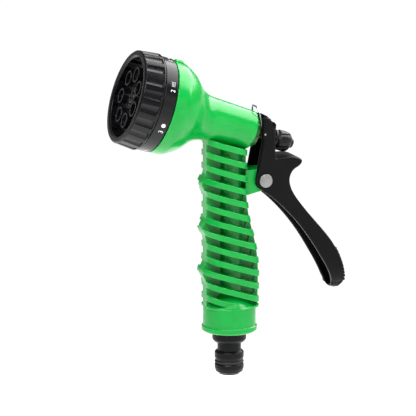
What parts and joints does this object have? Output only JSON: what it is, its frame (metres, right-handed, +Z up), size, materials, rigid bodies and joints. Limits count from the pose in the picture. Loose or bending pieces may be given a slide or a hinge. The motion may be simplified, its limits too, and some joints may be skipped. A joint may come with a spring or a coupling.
{
  "type": "hose spray nozzle",
  "caption": "Pistol-grip garden hose nozzle with a turning multi-pattern dial head, a rear squeeze lever, a flow knob and a push-fit hose inlet.",
  "frame": {"origin": "centre of the mouth of the hose nipple, at the bottom of the handle", "axes": "+Z up the handle away from the hose; the spray leaves towards -X and 17.5 degrees upwards; the lever is on +X; +Y across the handle"},
  "size_m": [0.1287, 0.0526, 0.1782],
  "materials": {
    "green_plastic": "glossy injection-moulded plastic",
    "gland_plastic": "glossy injection-moulded plastic",
    "dial_plastic": "semi-gloss black plastic",
    "insert_plastic": "satin black plastic",
    "lever_plastic": "satin black plastic",
    "knob_plastic": "satin black plastic",
    "nipple_plastic": "satin dark grey plastic",
    "seal_rubber": "smooth moulded rubber",
    "brass": "turned brass",
    "black_steel": "black-oxide steel",
    "steel": "plain steel",
    "spring_steel": "drawn spring wire"
  },
  "bodies": {
    "handle": {"body": "green_plastic", "hose_nipple": "nipple_plastic", "nipple_o_ring": "seal_rubber", "inlet_washer": "seal_rubber", "outlet_plate": "dial_plastic", "outlet_seal": "seal_rubber", "outlet_seal_spring": "spring_steel", "detent_ball": "steel", "detent_spring": "spring_steel", "gland_nut": "gland_plastic", "stem_o_rings": "seal_rubber", "spring_washer": "steel", "return_spring": "spring_steel", "pivot_pin": "steel", "dial_screw": "black_steel", "dial_screw_washer": "black_steel"},
    "dial": {"dial_body": "dial_plastic", "grip_ring": "dial_plastic", "face_plate": "dial_plastic", "mist_insert": "insert_plastic", "shower_insert": "insert_plastic", "cone_insert": "insert_plastic", "soaker_insert": "insert_plastic"},
    "lever": {"lever": "lever_plastic"},
    "valve": {"valve_stem": "brass", "valve_plug": "brass", "plug_seal": "seal_rubber", "seal_screw": "steel"},
    "knob_carrier": {"knob_washer": "knob_plastic"},
    "knob": {"flow_knob": "knob_plastic", "knob_insert": "brass"},
    "clip": {"lock_clip": "spring_steel"}
  },
  "joints": [
    {"name": "dial_turn", "type": "hinge", "parent": "handle", "child": "dial", "pos_m": [0, 0, 0.1362], "axis": [-0.9537, 0, 0.3007], "continuous": true},
    {"name": "valve_pull", "type": "slide", "parent": "handle", "child": "valve", "axis": [0.9537, 0, -0.3007], "range_m": [0, 0.00699], "stiffness_N_per_m": 60, "springref_m": -0.01, "deforming": ["return_spring"]},
    {"name": "lever_squeeze", "type": "hinge", "parent": "handle", "child": "lever", "pos_m": [0.0172, 0, 0.1064], "axis": [0, 1, 0], "range_deg": [0, 18]},
    {"name": "knob_feed", "type": "slide", "parent": "valve", "child": "knob_carrier", "axis": [0.9537, 0, -0.3007], "range_m": [0, 0.0021]},
    {"name": "knob_turn", "type": "hinge", "parent": "knob_carrier", "child": "knob", "pos_m": [-0.0003, 0, 0.13525], "axis": [0.9537, 0, -0.3007], "range_deg": [0, 1080]},
    {"name": "clip_swing", "type": "hinge", "parent": "lever", "child": "clip", "pos_m": [0.017, 0, 0.1314], "axis": [0, 1, 0], "range_deg": [0, 10]}
  ],
  "couplings": [
    {"joint": "lever_squeeze", "follows": "valve_pull", "rad_per_m": 44.944},
    {"joint": "knob_turn", "follows": "knob_feed", "rad_per_m": 8975.9}
  ]
}
